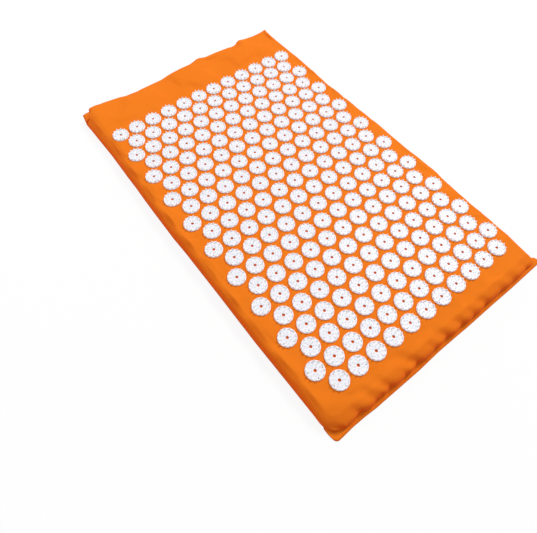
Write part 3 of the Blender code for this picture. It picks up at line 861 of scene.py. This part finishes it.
bpy.ops.object.select_all(action="DESELECT")
bpy.ops.mesh.primitive_cylinder_add(
    vertices=disc_sides, radius=disc_radius, depth=plate_thickness - rim_height,
    location=(0, 0, (plate_thickness - rim_height) / 2),
)
disc = bpy.context.object
disc.name = "disc_pattern"
freeze()
bpy.ops.object.mode_set(mode="EDIT")
select_faces(disc, lambda normal, middle: normal.z > 0.9)
for thickness, depth in zip(bands_in + (disc_radius - sum(bands_in) - hole_radius,), (rim_height, 0, 0, 0)):
    bpy.ops.mesh.inset(thickness=thickness, depth=depth)
select_faces(disc, lambda normal, middle: normal.z < -0.9)
bpy.ops.mesh.inset(thickness=disc_radius - hole_radius)
select_parts(disc, "faces", lambda face: len(face.verts) == disc_sides)
bpy.ops.mesh.bridge_edge_loops()
select_faces(disc, over_peg)
bpy.ops.mesh.inset(thickness=0.0007, use_individual=True)
bpy.ops.mesh.inset(thickness=0.0001, depth=-peg_depth, use_individual=True)
bpy.ops.object.mode_set(mode="OBJECT")
disc.data.materials.append(white_plastic)
disc.data.materials.append(pit_shade_plastic)
# The pit floors get the dark plastic, which is painted shade in the pits.
for face in disc.data.polygons:
    if face.normal.z > 0.9 and abs(face.center.z - plate_thickness + peg_depth) < 0.0001:
        face.material_index = 1
spikes = []
for count, ring_radius, half_round, half_across, start, lean, height in spike_rings:
    for n in range(count):
        turn = math.radians(start + 360 * n / count)
        foot = (ring_radius * math.cos(turn), ring_radius * math.sin(turn), plate_thickness - spike_root)
        bpy.ops.object.select_all(action="DESELECT")
        bpy.ops.mesh.primitive_cone_add(
            vertices=4, radius1=1, radius2=0, depth=1, location=foot, rotation=(0, 0, turn),
            scale=(half_across, half_round, height + spike_root),
        )
        spike = bpy.context.object
        spike.location.z += (height + spike_root) / 2
        freeze()
        bpy.ops.object.mode_set(mode="EDIT")
        cut_at(2, plate_thickness + 0.38 * height)
        bpy.ops.transform.resize(value=(0.90, 0.90, 1), center_override=foot)
        select_parts(spike, "verts", lambda vert: vert.co.z > plate_thickness + 0.9 * height)
        bpy.ops.transform.translate(value=(lean * math.cos(turn), lean * math.sin(turn), 0))
        bpy.ops.object.mode_set(mode="OBJECT")
        spike.data.materials.append(white_plastic)
        spikes.append(spike)
all_spikes = joined(spikes, "all_spikes")
pick(disc)
moulded = disc.modifiers.new("moulded in one", "BOOLEAN")
moulded.operation = "UNION"
moulded.solver = "EXACT"
moulded.object = all_spikes
bpy.ops.object.modifier_apply(modifier="moulded in one")
bpy.data.objects.remove(all_spikes, do_unlink=True)
bpy.ops.object.shade_smooth_by_angle(angle=math.radians(60))

for row in range(row_count):
    copies = []
    for n, (x, y) in enumerate([(x, y) for x, y, number in disc_places if number == row]):
        turn = (n * turn_step + row * row_turn) % (2 * math.pi)
        place = laid_at(x, y, plate_bottom) @ Matrix.Rotation(turn, 4, "Z")
        copies.append(copy_at(disc, f"disc_{row + 1:02d}_{n + 1:02d}", place))
    discs = joined(copies, f"discs_row_{row + 1:02d}")
    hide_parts(f"disc_row_{row + 1:02d}")
    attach(discs, "mat")
bpy.data.objects.remove(disc, do_unlink=True)


# Zip tapes. Two strips of ribbed orange polyester tape, sewn behind the two hems and standing
# upright at the far end. They reach in between the coils of the teeth and meet past the zip's ends.
# The third colour is the painted shade colour for creases and upright sides.
tape_finish = cotton_finish(
    "ribbed tape", (0.84, 0.19, 0.010), (0.68, 0.13, 0.006), (0.52, 0.04, 0.001), 0.0009, 0.6,
)
slider_low, slider_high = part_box("zip_slider")
teeth_low, teeth_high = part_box("zip_teeth_lower")
zip_x = (slider_low.x + slider_high.x) / 2
zip_y = (teeth_low.y + teeth_high.y) / 2
zip_z = (teeth_high.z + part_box("zip_teeth_upper")[0].z) / 2
tape_thickness = 0.0005
tape_cells, height_cells = 96, 8
tape_gap, meeting_run = 0.00042, 0.0060
for name, node, side in (("upper_tape", "zip_tape_upper", 1), ("lower_tape", "zip_tape_lower", -1)):
    tape_low, tape_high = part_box(node)
    meeting, hem_line = (tape_low.z, tape_high.z)[::side]
    tape_points, tape_flats, cut_area = [], [], 0
    for i in range(tape_cells + 1):
        x = tape_low.x + (tape_high.x - tape_low.x) * i / tape_cells
        open_share = float(eased((teeth_high.x + meeting_run - abs(x)) / meeting_run))
        inner = meeting + (zip_z + side * tape_gap - meeting) * open_share
        cut_area += abs(hem_line - inner) * (tape_high.x - tape_low.x) / (tape_cells + 1)
        for j in range(height_cells + 1):
            z = inner + (hem_line - inner) * j / height_cells
            wave = 0.00005 * math.sin(x * 310 + side) * math.sin(math.pi * j / height_cells)
            tape_points.append((x, zip_y + tape_thickness / 2 + wave, z))
            tape_flats.append((x, z))
    tape_faces = [face[::side] for face in grid_faces(tape_cells, height_cells)]
    tape = cloth_mesh(name, tape_points, tape_faces, tape_flats)
    thicken(tape, tape_thickness)
    tape.data.materials.append(tape_finish)
    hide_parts(node)
    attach(tape, "mat")


# Hem stitching. A row of the same orange thread holds each tape to its hem: one low down on the
# lower hem, and one along the turned-in edge of the upper panel, under the fold.
hem_rows = ((0.180, panel_high.y, hem_top - 0.0011), (0.172, panel_high.y, 0.0148))
hem_stitches = stitch_rows("hem_stitches", hem_rows, (0.0013, 0.00022, 0.00028))
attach(hem_stitches, "mat")


# Zip teeth. Each row is a coil of orange nylon thread, whose turns are pressed wider where they
# lock into the other row. A cord runs inside the coil, and both are sewn round the tape's edge.
tooth_spacing = 0.0012
coil_radius, coil_thread = 0.00080, 0.00022
cord_radius, cord_back = 0.00026, 0.00052
coil_spare, cord_spare = 0.0008, 0.0006
coil_nylon, tree, shader = new_finish("orange nylon")
milky = pattern(tree, "TexNoise", "Fac", Scale=900, Detail=3)
feed(tree, shader, {
    "Base Color": toned(tree, milky, (0.66, 0.12, 0.008), (0.90, 0.24, 0.025), 0.3, 0.7),
    "Roughness": ranged(tree, milky, 0.26, 0.44),
    "Specular IOR Level": 0.5,
    "Subsurface Weight": 0.2,
    "Subsurface Scale": 0.0004,
    "Normal": bumped(tree, milky, 0.2, 0.00005),
})
for name, node, side in (("upper_coil", "zip_teeth_upper", 1), ("lower_coil", "zip_teeth_lower", -1)):
    row_low, row_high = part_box(node)
    row_z = (row_low.z + row_high.z) / 2
    bpy.ops.object.select_all(action="DESELECT")
    bpy.ops.mesh.primitive_torus_add(
        major_segments=10, minor_segments=4, major_radius=coil_radius, minor_radius=coil_thread,
        rotation=(0, math.pi / 2, 0), location=(0, 0, 0),
    )
    coil_turn = bpy.context.object
    freeze()
    bpy.ops.object.mode_set(mode="EDIT")
    bpy.ops.mesh.select_all(action="SELECT")
    bpy.ops.transform.resize(value=(1.0, 1.07, 0.95), center_override=(0, 0, 0))
    bpy.ops.transform.rotate(value=math.radians(16), orient_axis="Z", center_override=(0, 0, 0))
    select_parts(coil_turn, "verts", lambda vert: -side * vert.co.z > 0.0006)
    bpy.ops.transform.resize(value=(1.5, 1.0, 1.0), center_override=(0, 0, 0))
    bpy.ops.transform.translate(value=(0, 0, -side * coil_thread))
    bpy.ops.object.mode_set(mode="OBJECT")
    steps = int((row_high.x - row_low.x - coil_spare) / tooth_spacing)
    turns = []
    for n in range(steps + 1):
        place = Matrix.Translation(((n - steps / 2) * tooth_spacing, zip_y, row_z))
        turns.append(copy_at(coil_turn, f"coil_turn_{n:03d}", place))
    bpy.ops.object.select_all(action="DESELECT")
    bpy.ops.mesh.primitive_cylinder_add(
        vertices=8, radius=cord_radius, depth=row_high.x - row_low.x - cord_spare,
        location=(0, zip_y + cord_back, row_z), rotation=(0, math.pi / 2, 0),
    )
    core_cord = bpy.context.object
    bpy.ops.object.mode_set(mode="EDIT")
    bpy.ops.mesh.bevel(offset=0.0001, segments=2, affect="EDGES")
    bpy.ops.object.mode_set(mode="OBJECT")
    coil = joined(turns + [core_cord], name)
    coil.data.shade_smooth()
    coil.data.materials.append(coil_nylon)
    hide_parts(node)
    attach(coil, "mat")
    bpy.data.objects.remove(coil_turn, do_unlink=True)


# Zip stops. A short clip of plated steel at each end of the teeth, folded round both rows and
# crimped, so that its broad faces are dented and its edges are rounded.
def metal_group():
    """Plated metal: a tint and a roughness that vary with handling, and the height of fine scratches."""
    tree, given, result = shader_group(
        "handled metal",
        {"Bright Colour": "Color", "Dull Colour": "Color", "Scratch Scale": "Float"},
        {"Colour": "Color", "Roughness": "Float", "Height": "Float"},
    )
    handled = pattern(tree, "TexNoise", "Fac", Scale=260, Detail=4)
    place = add_node(tree, "TexCoord").outputs["Object"]
    stretched = add_node(tree, "Mapping", {"Vector": place, "Scale": (0.12, 1, 1)}).outputs["Vector"]
    scratches = add_node(
        tree, "TexNoise", {"Vector": stretched, "Scale": given["Scratch Scale"], "Detail": 5},
    )
    feed(tree, result, {
        "Colour": mixed_colour(tree, handled, given["Bright Colour"], given["Dull Colour"]),
        "Roughness": ranged(tree, handled, 0.22, 0.46, 0.3, 0.7),
        "Height": scratches.outputs["Fac"],
    })
    return tree


handled_metal = metal_group()


def metal_finish(name, bright, dull, scratch_scale):
    """Plated metal with the marks of handling."""
    finish, tree, shader = new_finish(name)
    marks = add_node(tree, "Group", {
        "Bright Colour": (*bright, 1),
        "Dull Colour": (*dull, 1),
        "Scratch Scale": scratch_scale,
    }, node_tree=handled_metal).outputs
    feed(tree, shader, {
        "Base Color": marks["Colour"],
        "Metallic": 1.0,
        "Roughness": marks["Roughness"],
        "Normal": bumped(tree, marks["Height"], 0.25, 0.00004),
    })
    return finish


def block(name, middle, size):
    """A box in edit mode, to be shaped into a piece."""
    bpy.ops.object.select_all(action="DESELECT")
    bpy.ops.mesh.primitive_cube_add(size=1, location=middle, scale=size)
    piece = bpy.context.object
    piece.name = name
    freeze()
    bpy.ops.object.mode_set(mode="EDIT")
    return piece


clip_steel = metal_finish("plated clip", (0.78, 0.77, 0.75), (0.56, 0.55, 0.53), 1400)
for name, node in (("closed_end_stop", "zip_stop_closed_end"), ("open_end_stop", "zip_stop_open_end")):
    stop_low, stop_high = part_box(node)
    stop = block(name, (stop_low + stop_high) / 2, stop_high - stop_low)
    bpy.ops.mesh.select_all(action="SELECT")
    bpy.ops.mesh.bevel(offset=0.0006, segments=3, affect="EDGES")
    select_faces(stop, lambda normal, middle: abs(normal.y) > 0.99)
    bpy.ops.mesh.inset(thickness=0.0003, use_individual=True)
    bpy.ops.mesh.inset(thickness=0.0003, depth=-0.00025, use_individual=True)
    bpy.ops.object.mode_set(mode="OBJECT")
    bpy.ops.object.shade_smooth_by_angle(angle=math.radians(40))
    stop.data.materials.append(clip_steel)
    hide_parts(node)
    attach(stop, "mat")


# Zip slider. Cast in zinc and nickel plated: two rounded plates with turned-in flanges, joined by a
# post between the rows of teeth, and a bridge on the outer plate that the pull tab hangs from.
nickel = metal_finish("nickel plate", (0.74, 0.73, 0.71), (0.58, 0.57, 0.55), 1100)
slider_half = Vector(((slider_high.x - slider_low.x) / 2, 0, (slider_high.z - slider_low.z) / 2))
plate_inner, plate_outer = 0.0014, 0.0022
flange_inner, flange_face = slider_half.z - 0.0013, 0.0006
post_half, post_start = 0.0003, slider_half.x - 0.0026
front_corner, back_corner = 0.0011, 0.0018
bridge_half, bridge_width, bridge_wall, bridge_bend = 0.0027, 0.0016, 0.0008, 0.0003
bridge_foot_y = plate_outer - 0.0002
bridge_middle_y = plate_outer + 0.0020 - bridge_bend


def round_corners(piece, end_x, middle_z, half_height, radius):
    """Rounds, in edit mode, the two corners of a plate at one of its ends."""
    def at_corner(edge):
        a, b = (vert.co for vert in edge.verts)
        at_end = abs(a.x - end_x) < 1e-5 and abs(b.x - end_x) < 1e-5
        return at_end and abs(abs(a.z - middle_z) - half_height) < 1e-5 and abs(a.z - b.z) < 1e-5

    bpy.ops.mesh.select_mode(type="EDGE")
    select_parts(piece, "edges", at_corner)
    bpy.ops.mesh.bevel(offset=radius, segments=4, affect="EDGES")


def round_edges(piece, width):
    """Rounds a finished piece's sharp edges and shades it smooth."""
    rounding = piece.modifiers.new("rounded edges", "BEVEL")
    rounding.limit_method = "ANGLE"
    rounding.angle_limit = math.radians(50)
    rounding.width = width
    rounding.segments = 2
    bpy.ops.object.modifier_apply(modifier="rounded edges")
    bpy.ops.object.shade_smooth_by_angle(angle=math.radians(40))


halves = []
for half_name in ("front_half", "back_half"):
    half = block(
        half_name, (0, (plate_inner + plate_outer) / 2, 0),
        (2 * slider_half.x, plate_outer - plate_inner, 2 * slider_half.z),
    )
    cut_at(2, flange_inner, -flange_inner, post_half, -post_half)
    cut_at(0, post_start)
    select_faces(half, lambda normal, middle: normal.y < -0.9 and abs(middle.z) > flange_inner)
    extrude(0, flange_face - plate_inner, 0)
    select_faces(half, lambda normal, middle: normal.y < -0.9 and abs(middle.z) < post_half
                 and middle.x > post_start)
    extrude(0, -plate_inner - 0.00005, 0)
    round_corners(half, slider_half.x, 0, slider_half.z, front_corner)
    round_corners(half, -slider_half.x, 0, slider_half.z, back_corner)
    select_faces(half, lambda normal, middle: normal.y > 0.9)
    bpy.ops.mesh.inset(thickness=0.0003, depth=0.0)
    if half_name == "back_half":
        bpy.ops.mesh.select_all(action="SELECT")
        bpy.ops.transform.rotate(value=math.pi, orient_axis="X", center_override=(0, 0, 0))
    bpy.ops.object.mode_set(mode="OBJECT")
    halves.append(half)

bridge = block(
    "bridge", (-bridge_half + bridge_wall / 2, (bridge_foot_y + bridge_middle_y) / 2, 0),
    (bridge_wall, bridge_middle_y - bridge_foot_y, bridge_width),
)
select_faces(bridge, lambda normal, middle: normal.y > 0.9)
inner_end = bridge_half - bridge_wall - bridge_bend
bpy.ops.mesh.spin(steps=5, angle=-math.pi / 2, center=(-inner_end, bridge_middle_y, 0), axis=(0, 0, 1))
extrude(2 * inner_end, 0, 0)
bpy.ops.mesh.spin(steps=5, angle=-math.pi / 2, center=(inner_end, bridge_middle_y, 0), axis=(0, 0, 1))
extrude(0, bridge_foot_y - bridge_middle_y, 0)
bpy.ops.mesh.select_all(action="SELECT")
bpy.ops.mesh.remove_doubles(threshold=0.000001)
bpy.ops.mesh.normals_make_consistent(inside=False)
bpy.ops.object.mode_set(mode="OBJECT")
slider = joined(halves + [bridge], "slider_body")
slider.location = (zip_x, zip_y, zip_z)
freeze()
round_edges(slider, 0.00012)
slider.data.materials.append(nickel)
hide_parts("zip_slider")
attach(slider, "slider")


# Pull tab. A stamped and plated plate, 23 mm long, with a window at one end for the bridge and a
# pressed panel on both faces for the fingertips. Its end bar turns under the slider's bridge.
tab_low, tab_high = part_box("zip_pull_tab")
tab_middle = (tab_low + tab_high) / 2
tab_size = tab_high - tab_low
tab_bar = 0.0009
tab_corner = 0.0014
window_half = 0.0013
window_end = tab_high.x - tab_bar
window_start = window_end - 0.0035
panel_end = window_start - 0.0018
tab = block("pull_tab_plate", tab_middle, tab_size)
cut_at(2, tab_middle.z + window_half, tab_middle.z - window_half)
cut_at(0, window_end, window_start, panel_end)
select_faces(tab, lambda normal, middle: abs(normal.y) > 0.9 and abs(middle.z - tab_middle.z) < window_half
             and window_start < middle.x < window_end)
bpy.ops.mesh.bridge_edge_loops()
for end_x in (tab_low.x, tab_high.x):
    round_corners(tab, end_x, tab_middle.z, tab_size.z / 2, tab_corner)
select_faces(tab, lambda normal, middle: abs(normal.y) > 0.9 and middle.x < panel_end - 0.0001)
bpy.ops.mesh.inset(thickness=0.0008)
bpy.ops.mesh.inset(thickness=0.0002, depth=-0.00016)
bpy.ops.object.mode_set(mode="OBJECT")
round_edges(tab, 0.00016)
tab.data.materials.append(nickel)
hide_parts("zip_pull_tab")
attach(tab, "pull_tab")


# Studio. A white floor, a soft key lamp high above the mat's right side, a weak fill lamp low
# behind its far left corner, and the camera of the photograph.
def shown_over(tree, lit, shown, share):
    """The lit shader, over which camera and glossy rays see a share of the shown one."""
    rays = add_node(tree, "LightPath").outputs
    either = maths(tree, "MAXIMUM", rays["Is Camera Ray"], rays["Is Glossy Ray"])
    inputs = {"Fac": maths(tree, "MULTIPLY", either, share), 1: lit, 2: shown}
    return add_node(tree, "MixShader", inputs).outputs["Shader"]


bpy.ops.object.select_all(action="DESELECT")
bpy.ops.mesh.primitive_plane_add(size=12, location=(0, 0, 0))
floor = bpy.context.object
floor.name = "studio_floor"
floor_finish, tree, shader = new_finish("white floor")
feed(tree, shader, {"Base Color": (0.80, 0.80, 0.80, 1), "Roughness": 1.0, "Specular IOR Level": 0.0})
glow = add_node(tree, "Emission", {"Color": (1.0, 1.0, 1.0, 1), "Strength": 1.02}).outputs["Emission"]
surface = shown_over(tree, shader.outputs["BSDF"], glow, 0.86)
feed(tree, tree.nodes["Material Output"], {"Surface": surface})
floor.data.materials.append(floor_finish)

world = bpy.data.worlds.new("studio")
bpy.context.scene.world = world
world.use_nodes = True
tree = world.node_tree
sky = add_node(tree, "SeparateXYZ", {"Vector": add_node(tree, "TexCoord").outputs["Generated"]}).outputs
brighter_above = maths(tree, "MULTIPLY_ADD", sky["Z"], 0.20, 0.40)
around = tree.nodes["Background"]
feed(tree, around, {
    "Color": (1.0, 1.0, 1.0, 1),
    "Strength": maths(tree, "MULTIPLY_ADD", sky["X"], 0.06, brighter_above),
})
behind = add_node(tree, "Background", {"Color": (0.985, 0.985, 0.99, 1)}).outputs["Background"]
surface = shown_over(tree, around.outputs["Background"], behind, 1.0)
feed(tree, tree.nodes["World Output"], {"Surface": surface})


def add_lamp(name, location, target, size, power):
    lamp = bpy.data.lights.new(name, "AREA")
    lamp.shape = "SQUARE"
    lamp.size = size
    lamp.energy = power
    placed = bpy.data.objects.new(name, lamp)
    placed.location = location
    placed.rotation_euler = (Vector(target) - Vector(location)).to_track_quat("-Z", "Y").to_euler()
    bpy.context.scene.collection.objects.link(placed)


add_lamp("key_softbox", (2.5, 0.40, 2.85), (0, 0, 0), 1.15, 95)
add_lamp("fill_softbox", (-1.6, 1.3, 1.0), (0, 0, 0), 1.2, 12)

camera = bpy.data.cameras.new("photograph")
camera.sensor_width = 36
camera.sensor_fit = "HORIZONTAL"
camera.lens = 28.06
camera.clip_start = 0.01
view = bpy.data.objects.new("photograph", camera)
right = Vector((0.7864, -0.6171, 0.0275))
up = Vector((0.5364, 0.7042, 0.4652))
back = -Vector((0.3065, 0.3510, -0.8848))
turn = Matrix((right, up, back)).transposed()
view.matrix_world = Matrix.Translation((-0.3158, -0.3166, 0.5562)) @ turn.to_4x4()
bpy.context.scene.collection.objects.link(view)
bpy.context.scene.camera = view
bpy.context.scene.view_settings.view_transform = "Standard"
